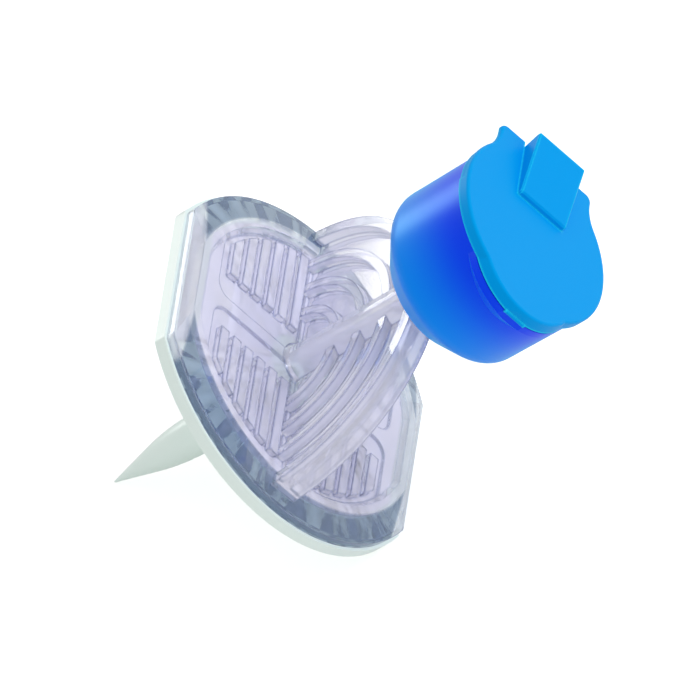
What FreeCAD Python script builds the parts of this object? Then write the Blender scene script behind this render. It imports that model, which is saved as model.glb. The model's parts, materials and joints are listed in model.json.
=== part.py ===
import FreeCAD, Part
import math
import os

# Dispensing spike for drug vials: a hollow spike under a flat grip plate that
# holds an air filter, a half-round upright grip, and a luer port in a flip cap.
# It is modelled upright, spike down, with the origin on the port's axis at the
# plane where the two halves of the grip plate meet. It is then laid down on one
# flat of the grip and the tip of the spike, as it comes to rest on a table.
# All sizes are in millimetres.

# Outline of the grip plate: a disc with two flats
grip_radius = 18.0
flat_distance = 15.95
grip_corner_radius = 1.0

# Lower half of the grip plate
base_proud = 0.3
base_thickness = 1.9
chamber_depth = 0.8
chamber_inset = 3.7
chamber_flat_inset = 3.3
boss_radius = 3.6
boss_ledge_width = 0.9
support_rib_width = 0.7
support_rib_pitch = 3.3
support_rib_gap = 1.2

# Spike: a conical point that blends into a round shank. It stands off the port's
# axis, so that its fluid channel runs straight into the bore.
spike_length = 21.4
spike_offset = 0.8
shank_radius = 1.95
tip_radius = 0.08
point_length = 5.0
point_radius = 1.25
blend_length = 6.0
root_flare = 0.5

# Channels in the spike, with their inlets away from the tip
fluid_channel_radius = 0.65
fluid_inlet_height = 4.5
air_channel_radius = 0.45
air_channel_offset = 1.05
air_inlet_height = 8.7
air_inlet_radius = 0.4
air_slot_width = 1.0
air_slot_roof = 0.35

# Air filter membrane
membrane_thickness = 0.25
membrane_overlap = 0.75
membrane_clearance = 0.12

# Rim of the upper half, which fits over a shoulder of the lower half
cover_rim_depth = 0.6
cover_rim_width = 0.5
cover_rim_clearance = 0.05

# Upper half of the grip plate
cover_edge_height = 0.3
cover_height = 1.15
curved_bevel_width = 2.7
flat_bevel_width = 1.25
rim_width = 0.9
field_slope = 0.4
field_height = 0.7
divider_half_width = 0.75

# Ribbed windows over the membrane
window_inset = 4.1
window_panel_gap = 0.5
window_recess = 0.3
window_corner_radius = 1.6
bar_pitch = 1.65
bar_width = 1.1
bar_first = 2.1
bar_rise = 0.35
bar_inner_end = 3.5
bar_outer_gap = 0.6
slot_width = 0.35
slot_end_gap = 0.4

# Upright grip: a thin half disc with an outer hoop and arc ribs on both faces
panel_thickness = 1.0
hoop_inset = 1.2
hoop_thickness = 1.2
hoop_half_width = 1.5
arc_rib_count = 3
arc_rib_gap = 3.7
arc_rib_pitch = 3.25
arc_rib_thickness = 1.0
arc_rib_half_width = 1.5

# Central column, collar and fluid bore
column_radius = 2.2
column_foot_radius = 2.6
column_foot_height = 0.4
bore_radius = 1.1
bore_mouth_radius = 1.85
bore_mouth_depth = 0.35
collar_radius = 3.9
collar_thickness = 0.8
collar_rise = 0.3
collar_gusset_height = 1.0

# Female luer lock port: 6 percent taper on the diameter, two lugs
port_radius = 3.05
port_length = 10.3
luer_mouth_radius = 2.135
luer_depth = 7.5
luer_taper = 0.06
luer_chamfer = 0.2
lug_radius = 3.9
lug_height = 0.9
lug_below_mouth = 0.2
lug_angle = 70.0
lug_flank = 0.35
bead_rise = 0.3
bead_height = 0.6

# Cap body
cap_foot_radius = 5.6
cap_shoulder_radius = 8.9
cap_mouth_radius = 9.05
cap_height = 12.2
cap_flare_height = 3.2
cap_shoulder_fillet = 2.0
cap_wall = 0.8
cap_floor = 1.0
cap_foot_chamfer = 0.3
cap_fit_clearance = 0.05

# Lid
lid_gap = 0.1
lid_radius = 9.4
lid_thickness = 1.2
lid_edge_radius = 0.3
lip_half_width = 6.2
lip_reach = 9.7
lip_thickness = 0.5
lip_overlap = 0.1
lip_corner_radius = 0.8
lip_neck_radius = 4.0
tab_half_width = 3.1
tab_start = 2.5
tab_start_rise = 0.55
tab_reach = 9.7
tab_rise = 2.0
tab_nose = 0.4
tab_undercut = 0.8
tab_edge_chamfer = 0.15
tab_lead = 0.15
skirt_clearance = 0.2
skirt_wall = 0.7
skirt_depth = 1.0
plug_clearance = 0.2
plug_depth = 1.0
plug_wall = 0.6
plug_lead = 0.25

# Hinge between cap body and lid
hinge_distance = 10.75
hinge_half_width = 1.3
hinge_bead_radius = 0.2
hinge_clearance = 0.05
lobe_reach = 10.9
lobe_radius = 6.5
lobe_edge_height = 0.8
lobe_flare_height = 2.4
lid_lobe_taper = 0.25

# Levels worked out from the sizes above
plate_foot = -base_thickness
spike_tip = plate_foot - spike_length
hoop_outer_radius = grip_radius - hoop_inset
collar_top = hoop_outer_radius + collar_rise
port_mouth = collar_top + port_length
cap_mouth = collar_top + cap_height
lid_underside = cap_mouth + lid_gap
lid_top = lid_underside + lid_thickness
hinge_height = cap_mouth + lid_gap / 2
lobe_centre = lobe_radius - lobe_reach
base_radius = grip_radius + base_proud
base_flat = flat_distance + base_proud
chamber_radius = grip_radius - chamber_inset
chamber_flat = flat_distance - chamber_flat_inset
window_radius = grip_radius - window_inset
window_flat = flat_distance - window_inset
window_floor = field_height - window_recess

# How far cutting shapes reach past what they cut, and how near two places count as one
margin = 1.0
tolerance = 0.01

V = FreeCAD.Vector
AXIS = V(0, 0, 1)


# Helpers

def cylinder(radius, low, high, x=0.0, y=0.0):
    return Part.makeCylinder(radius, high - low, V(x, y, low), AXIS)


def cone(low_radius, high_radius, low, high, x=0.0, y=0.0):
    return Part.makeCone(low_radius, high_radius, high - low, V(x, y, low), AXIS)


def box(low, high):
    size = V(*high) - V(*low)
    return Part.makeBox(size.x, size.y, size.z, V(*low))


def polygon_face(points):
    corners = [V(*point) for point in points]
    return Part.Face(Part.makePolygon(corners + [corners[0]]))


def turned(profile):
    """Solid of revolution about the axis from (radius, height) corners."""
    face = polygon_face([(radius, 0, height) for radius, height in profile])
    return face.revolve(V(0, 0, 0), AXIS, 360)


def extruded_along_x(profile, half_width):
    """Prism from (y, z) corners, centred on X = 0."""
    face = polygon_face([(-half_width, y, z) for y, z in profile])
    return face.extrude(V(2 * half_width, 0, 0))


def round_edges(shape, radius, wanted):
    edges = [edge for edge in shape.Edges if wanted(edge)]
    return shape.makeFillet(radius, edges)


def is_vertical(edge):
    bounds = edge.BoundBox
    return bounds.ZLength > tolerance and max(bounds.XLength, bounds.YLength) < tolerance


def lies_at(height):
    def wanted(edge):
        bounds = edge.BoundBox
        return max(abs(bounds.ZMin - height), abs(bounds.ZMax - height)) < tolerance
    return wanted


def grip_prism(radius, flat, low, high, corner=0.0):
    """Disc with two flats, perpendicular to X."""
    disc = cylinder(radius, low, high)
    prism = disc.common(box((-flat, -radius - margin, low), (flat, radius + margin, high)))
    if corner > 0:
        prism = round_edges(prism, corner, is_vertical)
    return prism


def grip_frustum(low_radius, low_flat, low, high_radius, high_flat, high):
    """Disc with two flats whose sides slope evenly from one height to another."""
    reach = max(low_radius, high_radius) + margin
    face = polygon_face([
        (-low_flat, -reach, low), (low_flat, -reach, low),
        (high_flat, -reach, high), (-high_flat, -reach, high)])
    wedge = face.extrude(V(0, 2 * reach, 0))
    return cone(low_radius, high_radius, low, high).common(wedge)


def arc_band(outer_radius, thickness, half_width):
    """Half ring that stands on the plate, across the flats' direction."""
    low, high = -half_width, half_width
    outer = Part.makeCylinder(outer_radius, high - low, V(low, 0, 0), V(1, 0, 0))
    inner = Part.makeCylinder(outer_radius - thickness, high - low, V(low, 0, 0), V(1, 0, 0))
    above = box((low, -outer_radius - margin, 0), (high, outer_radius + margin, outer_radius + margin))
    return outer.cut(inner).common(above)


# Spike and lower half of the grip plate

def spike_body():
    point_top = spike_tip + point_length
    shank_start = point_top + blend_length
    bulge = (shank_radius - point_radius) / 4
    blend = Part.Arc(
        V(point_radius, 0, point_top),
        V(shank_radius - bulge, 0, (point_top + shank_start) / 2),
        V(shank_radius, 0, shank_start)).toShape()
    outline = Part.Wire([
        Part.makeLine(V(0, 0, spike_tip), V(tip_radius, 0, spike_tip)),
        Part.makeLine(V(tip_radius, 0, spike_tip), V(point_radius, 0, point_top)),
        blend,
        Part.makeLine(V(shank_radius, 0, shank_start), V(shank_radius, 0, plate_foot)),
        Part.makeLine(V(shank_radius, 0, plate_foot), V(0, 0, plate_foot)),
        Part.makeLine(V(0, 0, plate_foot), V(0, 0, spike_tip))])
    spike = Part.Face(outline).revolve(V(0, 0, 0), AXIS, 360)
    return spike.translated(V(0, -spike_offset, 0))


def filter_chamber():
    """Air chamber under the membrane, with the membrane's own recess above it."""
    chamber = grip_prism(chamber_radius, chamber_flat, -chamber_depth, 0)
    boss = cylinder(boss_radius, -chamber_depth, 0)
    ledge = cylinder(boss_radius + boss_ledge_width, -chamber_depth, -membrane_thickness)
    recess = grip_prism(
        chamber_radius + membrane_overlap + membrane_clearance,
        chamber_flat + membrane_overlap + membrane_clearance,
        -membrane_thickness, 0)
    return chamber.fuse(recess).cut(boss.fuse(ledge))


def support_ribs():
    """Ribs on the chamber floor that hold the membrane up, clear of the chamber's walls."""
    reach = chamber_radius - support_rib_gap
    count = int((chamber_flat - support_rib_gap) / support_rib_pitch)
    ribs = []
    for side in (-1, 1):
        for index in range(1, count + 1):
            x = side * index * support_rib_pitch
            ribs.append(box((x - support_rib_width / 2, -reach, -chamber_depth),
                            (x + support_rib_width / 2, reach, -membrane_thickness)))
    inside = cylinder(reach, -chamber_depth, -membrane_thickness)
    ring = cylinder(boss_radius + boss_ledge_width + support_rib_gap, -chamber_depth, 0)
    return ribs[0].multiFuse(ribs[1:]).common(inside).cut(ring)


def spike_channels():
    air_y = -spike_offset - air_channel_offset
    fluid = cylinder(fluid_channel_radius, spike_tip + fluid_inlet_height, margin)
    air = cylinder(air_channel_radius, spike_tip + air_inlet_height, -air_slot_roof, 0, air_y)
    air_inlet = Part.makeCylinder(
        air_inlet_radius, shank_radius + margin,
        V(0, air_y, spike_tip + air_inlet_height + air_channel_radius), V(1, 0, 0))
    slot_end = boss_radius + boss_ledge_width + margin
    air_slot = box((-air_slot_width / 2, -slot_end, -chamber_depth),
                   (air_slot_width / 2, air_y, -air_slot_roof))
    return fluid.multiFuse([air, air_inlet, air_slot])


def make_spike_base():
    shoulder_inset = cover_rim_width + cover_rim_clearance
    plate = grip_prism(base_radius, base_flat, plate_foot, -cover_rim_depth, grip_corner_radius)
    shoulder = grip_prism(
        grip_radius - shoulder_inset, flat_distance - shoulder_inset, -cover_rim_depth, 0)
    root = cone(
        shank_radius, shank_radius + root_flare, plate_foot - root_flare, plate_foot, 0, -spike_offset)
    plate = plate.multiFuse([shoulder, spike_body(), root])
    plate = plate.cut(filter_chamber()).fuse(support_ribs())
    return plate.cut(spike_channels()).removeSplitter()


# Air filter

def make_air_filter():
    sheet = grip_prism(
        chamber_radius + membrane_overlap, chamber_flat + membrane_overlap,
        -membrane_thickness, 0)
    return sheet.cut(cylinder(boss_radius + membrane_clearance, -membrane_thickness, 0))


# Upper half of the grip plate, with everything that is moulded on it

def cover_plate():
    """Cover with bevelled sides, a raised rim, rounded corners and a lower inner field."""
    top_radius = grip_radius - curved_bevel_width
    top_flat = flat_distance - flat_bevel_width
    foot = grip_prism(grip_radius, flat_distance, 0, cover_edge_height)
    bevel = grip_frustum(
        grip_radius, flat_distance, cover_edge_height, top_radius, top_flat, cover_height)
    field = grip_frustum(
        top_radius - rim_width - field_slope, top_flat - rim_width - field_slope, field_height,
        top_radius - rim_width, top_flat - rim_width, cover_height)
    outline = grip_prism(grip_radius, flat_distance, 0, cover_height, grip_corner_radius)
    return foot.fuse(bevel).cut(field).common(outline)


def cover_rim():
    """Rim below the cover that fits over the shoulder of the lower half."""
    outer = grip_prism(grip_radius, flat_distance, -cover_rim_depth, 0, grip_corner_radius)
    inner = grip_prism(
        grip_radius - cover_rim_width, flat_distance - cover_rim_width, -cover_rim_depth, 0)
    return outer.cut(inner)


def quadrant_copies(shape):
    across = shape.mirror(V(0, 0, 0), V(1, 0, 0))
    pair = [shape, across]
    return pair + [one.mirror(V(0, 0, 0), V(0, 1, 0)) for one in pair]


def window_prism(inner_x, inner_y, radius, flat, low, high):
    """The +X +Y quadrant of a disc with flats, beyond the given inner sides."""
    quadrant = box((inner_x, inner_y, low), (flat, radius, high))
    return quadrant.common(cylinder(radius, low, high))


def window_pocket():
    """Recess of one window. Its corners are rounded as far as its shortest wall allows."""
    pocket = window_prism(
        panel_thickness / 2 + window_panel_gap, divider_half_width,
        window_radius, window_flat, window_floor, cover_height)
    shortest = min(edge.Length for edge in pocket.Edges if lies_at(cover_height)(edge))
    return round_edges(pocket, min(window_corner_radius, shortest / 3), is_vertical)


def window_bars():
    """Raised bars of one window and the air slots between them."""
    outer_radius = window_radius - bar_outer_gap
    last_x = window_flat - bar_outer_gap
    bars = []
    slots = []
    middle = bar_first
    while middle + bar_width / 2 < last_x:
        bar = window_prism(
            middle - bar_width / 2, bar_inner_end, outer_radius, middle + bar_width / 2,
            window_floor - tolerance, field_height + bar_rise)
        bars.append(bar)
        slot_middle = middle + bar_pitch / 2
        middle += bar_pitch
        if middle + bar_width / 2 < last_x:
            slots.append(window_prism(
                slot_middle - slot_width / 2, bar_inner_end + slot_end_gap,
                outer_radius - slot_end_gap, slot_middle + slot_width / 2,
                -margin, field_height))
    return bars, slots


def upright_grip():
    panel = Part.makeCylinder(
        hoop_outer_radius - hoop_thickness / 2, panel_thickness,
        V(-panel_thickness / 2, 0, 0), V(1, 0, 0))
    above = box((-margin, -grip_radius, 0), (margin, grip_radius, grip_radius))
    hoop = arc_band(hoop_outer_radius, hoop_thickness, hoop_half_width)
    ribs = []
    for index in range(arc_rib_count):
        radius = hoop_outer_radius - arc_rib_gap - index * arc_rib_pitch
        ribs.append(arc_band(radius, arc_rib_thickness, arc_rib_half_width))
    return [panel.common(above), hoop] + ribs


def collar():
    """Flange under the cap, carried by a cone that spreads from the hoop and the column."""
    foot = collar_top - collar_thickness
    flange = cylinder(collar_radius, foot, collar_top)
    gusset = cone(column_radius, collar_radius - collar_gusset_height / 2, foot - collar_gusset_height, foot)
    return [flange, gusset]


def luer_lugs():
    """Two ramped lugs of the locking thread, opposite each other at the mouth."""
    top = port_mouth - lug_below_mouth
    low = top - lug_height
    face = polygon_face([
        (port_radius - lug_flank, 0, low - lug_flank), (lug_radius, 0, low + lug_flank / 2),
        (lug_radius, 0, top - lug_flank / 2), (port_radius - lug_flank, 0, top)])
    lug = face.revolve(V(0, 0, 0), AXIS, lug_angle)
    lug.rotate(V(0, 0, 0), AXIS, -lug_angle / 2)
    other = lug.copy()
    other.rotate(V(0, 0, 0), AXIS, 180)
    return [lug, other]


def luer_port():
    tube = cylinder(port_radius, collar_top, port_mouth)
    bead_low = collar_top + cap_floor + cap_fit_clearance
    bead = turned([
        (port_radius - bead_rise, bead_low), (port_radius + bead_rise, bead_low),
        (port_radius + bead_rise, bead_low + bead_height / 3),
        (port_radius, bead_low + bead_height), (port_radius - bead_rise, bead_low + bead_height)])
    return [tube, bead] + luer_lugs()


def fluid_bore():
    seat = port_mouth - luer_depth
    seat_radius = luer_mouth_radius - luer_depth * luer_taper / 2
    return [
        cylinder(bore_mouth_radius, -margin, bore_mouth_depth),
        cylinder(bore_radius, -margin, port_mouth),
        cone(seat_radius, luer_mouth_radius, seat, port_mouth),
        cone(luer_mouth_radius, luer_mouth_radius + luer_chamfer, port_mouth - luer_chamfer, port_mouth)]


def make_grip_housing():
    column = cylinder(column_radius, 0, collar_top)
    foot = cone(column_foot_radius, column_radius, field_height, field_height + column_foot_height)
    bars, slots = window_bars()
    pockets = quadrant_copies(window_pocket())
    plate = cover_plate().cut(pockets[0].multiFuse(pockets[1:]))
    for bar in bars:
        plate = plate.multiFuse(quadrant_copies(bar))
    for slot in slots:
        openings = quadrant_copies(slot)
        plate = plate.cut(openings[0].multiFuse(openings[1:]))
    body = plate.multiFuse([column, foot] + upright_grip() + collar() + luer_port())
    bore = fluid_bore()
    body = body.cut(bore[0].multiFuse(bore[1:]))
    return body.fuse(cover_rim()).removeSplitter()


# Cap body

def cap_shell():
    shoulder = collar_top + cap_flare_height
    outside = turned([
        (0, collar_top), (cap_foot_radius - cap_foot_chamfer, collar_top),
        (cap_foot_radius + cap_foot_chamfer, collar_top + cap_foot_chamfer),
        (cap_shoulder_radius, shoulder), (cap_mouth_radius, cap_mouth), (0, cap_mouth)])
    return round_edges(outside, cap_shoulder_fillet, lies_at(shoulder))


def cap_cavity():
    floor = collar_top + cap_floor
    shoulder = collar_top + cap_flare_height
    flare = (cap_shoulder_radius - cap_foot_radius) / cap_flare_height
    shoulder_in = cap_shoulder_radius - cap_wall
    floor_in = shoulder_in - flare * (shoulder - floor)
    return turned([
        (0, floor), (floor_in, floor), (shoulder_in, shoulder),
        (cap_mouth_radius - cap_wall, cap_mouth), (0, cap_mouth)])


def hinge_lobe():
    """Round lobe that carries the hinge. It flares out of the shell's side below the mouth."""
    edge = cap_mouth - lobe_edge_height
    foot_radius = cap_mouth_radius - cap_wall - abs(lobe_centre)
    flare = cone(foot_radius, lobe_radius, edge - lobe_flare_height, edge, 0, lobe_centre)
    lobe = flare.fuse(cylinder(lobe_radius, edge, cap_mouth, 0, lobe_centre))
    return lobe.cut(beyond_hinge())


def beyond_hinge():
    """What lies outside the hinge's axis, where the lid would strike the body as it opens."""
    reach = lobe_reach + margin
    return box((-reach, -reach, 0), (reach, -hinge_distance, lid_top + margin))


def make_cap_body():
    shell = cap_shell().fuse(hinge_lobe()).cut(cap_cavity())
    port_hole = cylinder(port_radius + cap_fit_clearance, collar_top - margin, collar_top + cap_floor + margin)
    groove = Part.makeCylinder(
        hinge_bead_radius + hinge_clearance, 2 * (hinge_half_width + hinge_clearance),
        V(-hinge_half_width - hinge_clearance, -hinge_distance, hinge_height), V(1, 0, 0))
    return shell.cut(port_hole).cut(groove).removeSplitter()


# Lid

def lid_disc():
    """Lid with a straight lip at the front, blended into the disc, and the hinge's lobe behind."""
    disc = cylinder(lid_radius, lid_underside, lid_top)
    lip = box((-lip_half_width, 0, lid_underside), (lip_half_width, lip_reach, lid_top))
    plate = disc.fuse(lip)
    plate = round_edges(plate, lip_neck_radius, is_lip_neck)
    plate = round_edges(plate, lip_corner_radius, is_lip_corner)
    plate = plate.cut(under_lip())
    lobe = cone(lobe_radius, lobe_radius - lid_lobe_taper, lid_underside, lid_top, 0, lobe_centre)
    plate = plate.fuse(lobe.cut(beyond_hinge())).removeSplitter()
    return round_edges(plate, lid_edge_radius, lies_at(lid_top))


def under_lip():
    """Space below the lip, which is thinner than the disc that it stands out from."""
    low = lid_underside - margin
    high = lid_top - lip_thickness
    reach = lip_reach + margin
    front = box((-reach, 0, low), (reach, reach, high))
    return front.cut(cylinder(lid_radius - lip_overlap, low, high))


def is_lip_neck(edge):
    bounds = edge.BoundBox
    neck = math.sqrt(lid_radius ** 2 - lip_half_width ** 2)
    offset = max(abs(bounds.YMin - neck), abs(abs(bounds.XMin) - lip_half_width))
    return is_vertical(edge) and offset < tolerance


def is_lip_corner(edge):
    return is_vertical(edge) and edge.BoundBox.YMin > lip_reach - tolerance


def thumb_tab():
    """Wedge that rises to the front and overhangs a notch in the lip."""
    foot = lid_top - lid_edge_radius
    wedge = extruded_along_x([
        (tab_start, foot), (tab_start + tab_lead, lid_top + tab_start_rise),
        (tab_reach, lid_top + tab_rise), (tab_reach, lid_top + tab_rise - tab_nose),
        (tab_reach - tab_undercut, foot)], tab_half_width)
    return wedge.makeChamfer(tab_edge_chamfer, wedge.Edges)


def lip_notch():
    return box((-tab_half_width, tab_reach - tab_undercut, lid_underside - margin),
               (tab_half_width, lip_reach + margin, lid_top))


def seal_plug():
    """Short hollow plug that stops the luer mouth, with a lead so that it swings clear."""
    foot = port_mouth - plug_depth
    top_radius = luer_mouth_radius - plug_clearance
    foot_radius = top_radius - plug_depth * luer_taper / 2 - plug_lead
    return turned([
        (foot_radius - plug_wall, foot), (foot_radius, foot), (top_radius, port_mouth),
        (top_radius, lid_underside + margin / 2), (foot_radius - plug_wall, lid_underside + margin / 2)])


def locating_skirt():
    outer = cap_mouth_radius - cap_wall - skirt_clearance
    foot = lid_underside - skirt_depth
    return turned([
        (outer - skirt_wall, foot + skirt_wall / 2), (outer - skirt_wall / 2, foot), (outer, lid_underside),
        (outer, lid_underside + margin / 2), (outer - skirt_wall, lid_underside + margin / 2)])


def hinge_bead():
    """Round bead along the outer edge of the lobe, which turns in the groove of the cap body."""
    return Part.makeCylinder(
        hinge_bead_radius, 2 * hinge_half_width,
        V(-hinge_half_width, -hinge_distance, hinge_height), V(1, 0, 0))


def make_cap_lid():
    lid = lid_disc().cut(lip_notch())
    lid = lid.multiFuse([thumb_tab(), seal_plug(), locating_skirt(), hinge_bead()])
    return lid.removeSplitter()


# Resting pose

def lay_down(shapes):
    """Turn the upright model onto the lower edge of one flat and the spike's tip."""
    angle = math.atan2(plate_foot - spike_tip, base_flat - tip_radius)
    turn = FreeCAD.Rotation(V(0, 1, 0), math.degrees(angle))
    turned_shapes = {}
    for name, shape in shapes.items():
        copy = shape.copy()
        copy.Placement = FreeCAD.Placement(V(0, 0, 0), turn)
        turned_shapes[name] = copy
    bounds = Part.makeCompound(list(turned_shapes.values())).optimalBoundingBox(False)
    shift = V(-bounds.Center.x, -bounds.Center.y, -bounds.ZMin)
    for copy in turned_shapes.values():
        copy.translate(shift)
    return turned_shapes


def make_nodes():
    return {
        "spike_base": make_spike_base(),
        "air_filter": make_air_filter(),
        "grip_housing": make_grip_housing(),
        "cap_body": make_cap_body(),
        "cap_lid": make_cap_lid(),
    }


os.makedirs("parts", exist_ok=True)
for node_name, node_shape in lay_down(make_nodes()).items():
    node_shape.exportStep(f"parts/{node_name}.step")
    print(node_name, node_shape.isValid(), len(node_shape.Solids), round(node_shape.Volume, 1))
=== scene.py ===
import json

import bpy
from mathutils import Matrix, Vector

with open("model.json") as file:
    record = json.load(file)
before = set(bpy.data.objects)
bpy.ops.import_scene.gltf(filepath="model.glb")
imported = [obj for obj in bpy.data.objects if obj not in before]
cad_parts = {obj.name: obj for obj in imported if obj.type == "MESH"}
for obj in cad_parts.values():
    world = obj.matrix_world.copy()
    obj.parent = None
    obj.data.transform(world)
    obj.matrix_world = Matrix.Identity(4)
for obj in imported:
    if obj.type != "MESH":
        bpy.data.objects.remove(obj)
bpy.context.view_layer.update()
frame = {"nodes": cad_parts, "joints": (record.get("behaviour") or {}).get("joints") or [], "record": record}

MM = 0.001

# The spike's own upright frame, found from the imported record: the luer port's
# mouth lies on the upright axis and the lid's hinge lies across it. Sizes along
# the axis are counted from the plane where the two halves of the grip plate meet.
PORT_MOUTH_HEIGHT = 27.4 * MM

# Camera, in the spike's upright frame
CAMERA_RIGHT = (0.6722, 0.1123, 0.7318)
CAMERA_FORWARD = (0.4630, 0.7076, -0.5338)
CAMERA_AIM = (2.22 * MM, 1.93 * MM, 4.49 * MM)
CAMERA_DISTANCE = 2.94
CAMERA_FIELD = 65.6 * MM
SENSOR = 36.0

# Light: the world's level on the object and the floor's added brightness in the
# picture. Then a large lamp above the cap, and a low one behind and to the left
# that shows only as gloss. Places are in the spike's upright frame, in metres.
WORLD_LIGHT = 0.72
FLOOR_GLOW = 0.45
FLOOR_SIZE = 6.0
KEY_POWER = 2.0
KEY_SIZE = 0.4
KEY_PLACE = (-0.16, 0.16, 0.77)
GLOSS_POWER = 1.3
GLOSS_SIZE = 0.28
GLOSS_PLACE = (-0.505, 0.474, -0.37)

# The cover's sloping sides, in the upright frame, which get a painted shade: they start between these two
# radii, end between the heights and stop between the distances from the middle
BEVEL_RADII = (15.2 * MM, 15.5 * MM)
BEVEL_HEIGHTS = (1.4 * MM, 1.2 * MM)
BEVEL_STOPS = (14.8 * MM, 14.4 * MM)

# Heights between which the cap's blue deepens as a painted shade, and how wide the painted shade and
# highlight lines along sharp edges look
CAP_PAINTED_SHADE_HEIGHTS = (20.0 * MM, 28.5 * MM)
EDGE_WIDTH = 0.4 * MM
EDGE_AGREEMENT = (0.96, 0.80)

# Colours
WHITE = (1, 1, 1, 1)
CLEAR = (0.93, 0.93, 1.0, 1)
# Painted shade: dark slate on the cover's sloping sides, standing in for the darkness refraction gives there
CLEAR_BEVEL_PAINTED_SHADE = (0.22, 0.29, 0.42, 1)
# Painted shade: dark lines along the clear plastic's sharp edges
CLEAR_EDGE_PAINTED_SHADE = (0.25, 0.29, 0.45, 1)
CLEAR_SHADE = (0.96, 0.96, 1.0, 1)
CAP_BLUE = (0.0, 0.24, 1.0, 1)
# Painted shade: the deeper blue towards the cap's mouth
CAP_DEEP_PAINTED_SHADE = (0.0, 0.02, 1.0, 1)
LID_BLUE = (0.0, 0.34, 0.85, 1)
CAP_GLOSS = (0.08, 0.9, 1.0, 1)
CAP_SHEEN = (0.0, 0.8, 1.0, 1)
# Painted highlight: bright cyan lines along the lid's sharp edges
LID_EDGE_PAINTED_HIGHLIGHT = (0.02, 0.78, 1.0, 1)
LID_GLOSS = (0.1, 0.9, 1.0, 1)
MILKY = (0.85, 1.0, 0.92, 1)
MILKY_DEPTH = (2 * MM, 2 * MM, 2 * MM)
MEMBRANE = (0.92, 0.91, 1.0, 1)
FLOOR = (0.9, 0.9, 0.9, 1)


def upright_frame():
    port = next(m for m in frame["record"]["mounts"] if m["name"] == "luer_port")
    hinge = next(j for j in frame["joints"] if j["name"] == "lid_hinge")
    axis = Vector(port["axis"]).normalized()
    across = Vector(hinge["axis"]).normalized()
    along = axis.cross(across)
    origin = Vector(port["pos_m"]) - axis * PORT_MOUTH_HEIGHT
    turn = Matrix((across, along, axis)).transposed()
    return Matrix.Translation(origin) @ turn.to_4x4()


UPRIGHT = upright_frame()


def node_material(name):
    material = bpy.data.materials.new(name)
    material.use_nodes = True
    tree = material.node_tree
    shader = tree.nodes["Principled BSDF"]
    return material, tree, shader


def assign(node, material):
    piece = frame["nodes"][node]
    piece.data.materials.clear()
    piece.data.materials.append(material)


def math_node(tree, operation, first, second):
    """Result of one sum on two values, each a socket or a plain number."""
    node = tree.nodes.new("ShaderNodeMath")
    node.operation = operation
    for socket, value in zip(node.inputs, (first, second)):
        if isinstance(value, float):
            socket.default_value = value
        else:
            tree.links.new(value, socket)
    return node.outputs[0]


def ramp(tree, value, low, high):
    """0 at the low value and 1 at the high one, blended smoothly between them."""
    node = tree.nodes.new("ShaderNodeMapRange")
    node.interpolation_type = "SMOOTHSTEP"
    node.inputs["From Min"].default_value = low
    node.inputs["From Max"].default_value = high
    tree.links.new(value, node.inputs["Value"])
    return node.outputs["Result"]


def blend(tree, share, first, second):
    """Colour between two others, either of which is a socket or a plain colour."""
    node = tree.nodes.new("ShaderNodeMix")
    node.data_type = "RGBA"
    tree.links.new(share, node.inputs[0])
    for socket, colour in zip(node.inputs[6:8], (first, second)):
        if isinstance(colour, tuple):
            socket.default_value = colour
        else:
            tree.links.new(colour, socket)
    return node.outputs[2]


def upright_place(tree):
    """X, Y and Z of the shaded point in the spike's upright frame."""
    geometry = tree.nodes.new("ShaderNodeNewGeometry")
    mapping = tree.nodes.new("ShaderNodeMapping")
    inverse = UPRIGHT.inverted()
    mapping.inputs["Location"].default_value = inverse.to_translation()
    mapping.inputs["Rotation"].default_value = inverse.to_euler()
    tree.links.new(geometry.outputs["Position"], mapping.inputs["Vector"])
    split = tree.nodes.new("ShaderNodeSeparateXYZ")
    tree.links.new(mapping.outputs["Vector"], split.inputs[0])
    return split.outputs


def edge_shade_and_highlight_share(tree):
    """1 along sharp edges and 0 away from them, by how far a rounded edge's normal turns: where painted
    shade lines and painted highlight lines go.
    """
    bevel = tree.nodes.new("ShaderNodeBevel")
    bevel.samples = 4
    bevel.inputs["Radius"].default_value = EDGE_WIDTH
    geometry = tree.nodes.new("ShaderNodeNewGeometry")
    agree = tree.nodes.new("ShaderNodeVectorMath")
    agree.operation = "DOT_PRODUCT"
    tree.links.new(bevel.outputs["Normal"], agree.inputs[0])
    tree.links.new(geometry.outputs["Normal"], agree.inputs[1])
    return ramp(tree, agree.outputs["Value"], *EDGE_AGREEMENT)


def painted_bevel_shade_share(tree):
    """1 on the sloping sides of the cover's round part, where a dark slate is painted as shade."""
    x, y, z = upright_place(tree)
    x_squared = math_node(tree, "MULTIPLY", x, x)
    y_squared = math_node(tree, "MULTIPLY", y, y)
    radius = math_node(tree, "SQRT", math_node(tree, "ADD", x_squared, y_squared), 0.0)
    outside = ramp(tree, radius, *BEVEL_RADII)
    low = ramp(tree, z, *BEVEL_HEIGHTS)
    between = ramp(tree, math_node(tree, "ABSOLUTE", x, 0.0), *BEVEL_STOPS)
    return math_node(tree, "MULTIPLY", math_node(tree, "MULTIPLY", outside, low), between)


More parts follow.
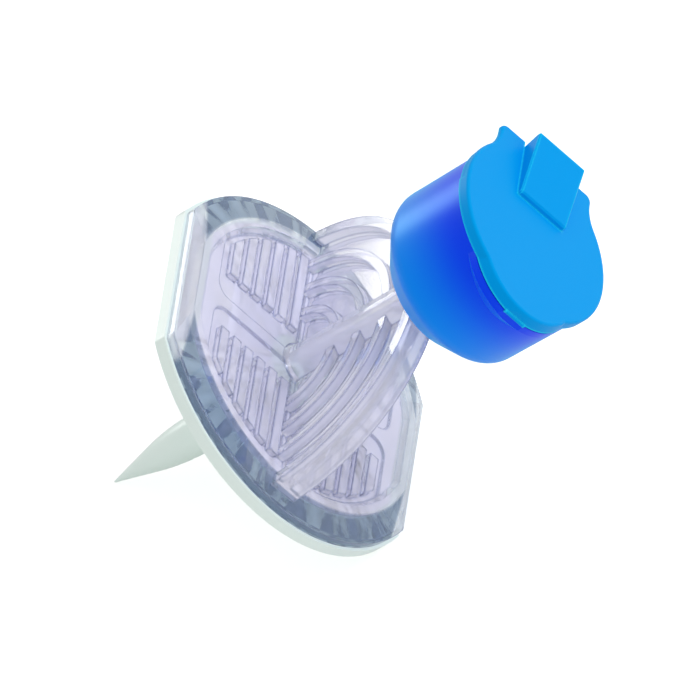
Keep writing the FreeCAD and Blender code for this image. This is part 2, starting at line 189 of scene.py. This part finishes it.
def clear_plastic():
    """Clear plastic, which lets the lamps' light through to what lies below it, with painted shade on its
    sloping sides and dark painted lines along its edges.
    """
    material, tree, shader = node_material("clear_plastic")
    bevels_with_painted_shade = blend(tree, painted_bevel_shade_share(tree), CLEAR, CLEAR_BEVEL_PAINTED_SHADE)
    colour = blend(tree, edge_shade_and_highlight_share(tree), bevels_with_painted_shade, CLEAR_EDGE_PAINTED_SHADE)
    tree.links.new(colour, shader.inputs["Base Color"])
    shader.inputs["Transmission Weight"].default_value = 0.72
    shader.inputs["Roughness"].default_value = 0.04
    shader.inputs["IOR"].default_value = 1.45
    path = tree.nodes.new("ShaderNodeLightPath")
    passing = math_node(tree, "MAXIMUM", path.outputs["Is Shadow Ray"], path.outputs["Is Diffuse Ray"])
    gap = tree.nodes.new("ShaderNodeBsdfTransparent")
    gap.inputs["Color"].default_value = CLEAR_SHADE
    mix = tree.nodes.new("ShaderNodeMixShader")
    tree.links.new(passing, mix.inputs[0])
    tree.links.new(shader.outputs[0], mix.inputs[1])
    tree.links.new(gap.outputs[0], mix.inputs[2])
    tree.links.new(mix.outputs[0], tree.nodes["Material Output"].inputs["Surface"])
    return material


def cap_plastic():
    """Blue plastic whose colour deepens towards the cap's mouth as a painted shade, as in the photograph."""
    material, tree, shader = node_material("cap_plastic")
    height = upright_place(tree)["Z"]
    painted_shade_near_mouth = ramp(tree, height, *CAP_PAINTED_SHADE_HEIGHTS)
    tree.links.new(blend(tree, painted_shade_near_mouth, CAP_BLUE, CAP_DEEP_PAINTED_SHADE), shader.inputs["Base Color"])
    shader.inputs["Roughness"].default_value = 0.35
    shader.inputs["Specular IOR Level"].default_value = 0.6
    shader.inputs["Specular Tint"].default_value = CAP_GLOSS
    shader.inputs["Sheen Weight"].default_value = 0.5
    shader.inputs["Sheen Roughness"].default_value = 0.25
    shader.inputs["Sheen Tint"].default_value = CAP_SHEEN
    return material


def lid_plastic():
    """Lighter blue plastic with painted highlights along its edges."""
    material, tree, shader = node_material("lid_plastic")
    colour = blend(tree, edge_shade_and_highlight_share(tree), LID_BLUE, LID_EDGE_PAINTED_HIGHLIGHT)
    tree.links.new(colour, shader.inputs["Base Color"])
    shader.inputs["Roughness"].default_value = 0.4
    shader.inputs["Specular IOR Level"].default_value = 0.1
    shader.inputs["Specular Tint"].default_value = LID_GLOSS
    return material


def milky_plastic():
    """Whitish green plastic that light enters a little."""
    material, tree, shader = node_material("milky_plastic")
    shader.inputs["Base Color"].default_value = MILKY
    shader.inputs["Roughness"].default_value = 0.3
    shader.inputs["Subsurface Weight"].default_value = 0.4
    shader.inputs["Subsurface Radius"].default_value = MILKY_DEPTH
    return material


def membrane():
    material, tree, shader = node_material("membrane")
    shader.inputs["Base Color"].default_value = MEMBRANE
    shader.inputs["Roughness"].default_value = 0.8
    return material


def make_camera():
    right = Vector(CAMERA_RIGHT).normalized()
    forward = Vector(CAMERA_FORWARD)
    forward = (forward - right * forward.dot(right)).normalized()
    up = right.cross(forward)
    pose = Matrix((right, up, -forward)).transposed().to_4x4()
    pose.translation = Vector(CAMERA_AIM) - forward * CAMERA_DISTANCE
    data = bpy.data.cameras.new("camera")
    data.sensor_width = SENSOR
    data.lens = SENSOR * CAMERA_DISTANCE / CAMERA_FIELD
    data.clip_start = 0.1
    data.clip_end = 20
    camera = bpy.data.objects.new("camera", data)
    camera.matrix_world = UPRIGHT @ pose
    bpy.context.collection.objects.link(camera)
    bpy.context.scene.camera = camera


def make_floor():
    bpy.ops.mesh.primitive_plane_add(size=FLOOR_SIZE)
    floor = bpy.context.object
    floor.name = "floor"
    material, tree, shader = node_material("floor")
    shader.inputs["Base Color"].default_value = FLOOR
    shader.inputs["Roughness"].default_value = 0.9
    shader.inputs["Emission Color"].default_value = WHITE
    path = tree.nodes.new("ShaderNodeLightPath")
    glow = math_node(tree, "MULTIPLY", path.outputs["Is Camera Ray"], FLOOR_GLOW)
    tree.links.new(glow, shader.inputs["Emission Strength"])
    floor.data.materials.append(material)


def make_light():
    world = bpy.data.worlds.new("studio")
    bpy.context.scene.world = world
    world.use_nodes = True
    tree = world.node_tree
    background = tree.nodes["Background"]
    background.inputs["Color"].default_value = WHITE
    path = tree.nodes.new("ShaderNodeLightPath")
    level = tree.nodes.new("ShaderNodeMapRange")
    level.inputs["To Min"].default_value = WORLD_LIGHT
    level.inputs["To Max"].default_value = 1.0
    tree.links.new(path.outputs["Is Camera Ray"], level.inputs["Value"])
    tree.links.new(level.outputs["Result"], background.inputs["Strength"])
    make_lamp("key", KEY_PLACE, KEY_SIZE, KEY_POWER)
    gloss = make_lamp("gloss", GLOSS_PLACE, GLOSS_SIZE, GLOSS_POWER)
    gloss.visible_diffuse = False
    gloss.visible_transmission = False


def make_lamp(name, place, size, power):
    """Square lamp that faces the object."""
    data = bpy.data.lights.new(name, "AREA")
    data.energy = power
    data.size = size
    light = bpy.data.objects.new(name, data)
    light.location = UPRIGHT @ Vector(place)
    light.rotation_euler = (-light.location).to_track_quat("-Z", "Y").to_euler()
    bpy.context.collection.objects.link(light)
    return light


assign("grip_housing", clear_plastic())
assign("cap_body", cap_plastic())
assign("cap_lid", lid_plastic())
assign("spike_base", milky_plastic())
assign("air_filter", membrane())
make_camera()
make_floor()
make_light()
bpy.context.scene.view_settings.view_transform = "Standard"
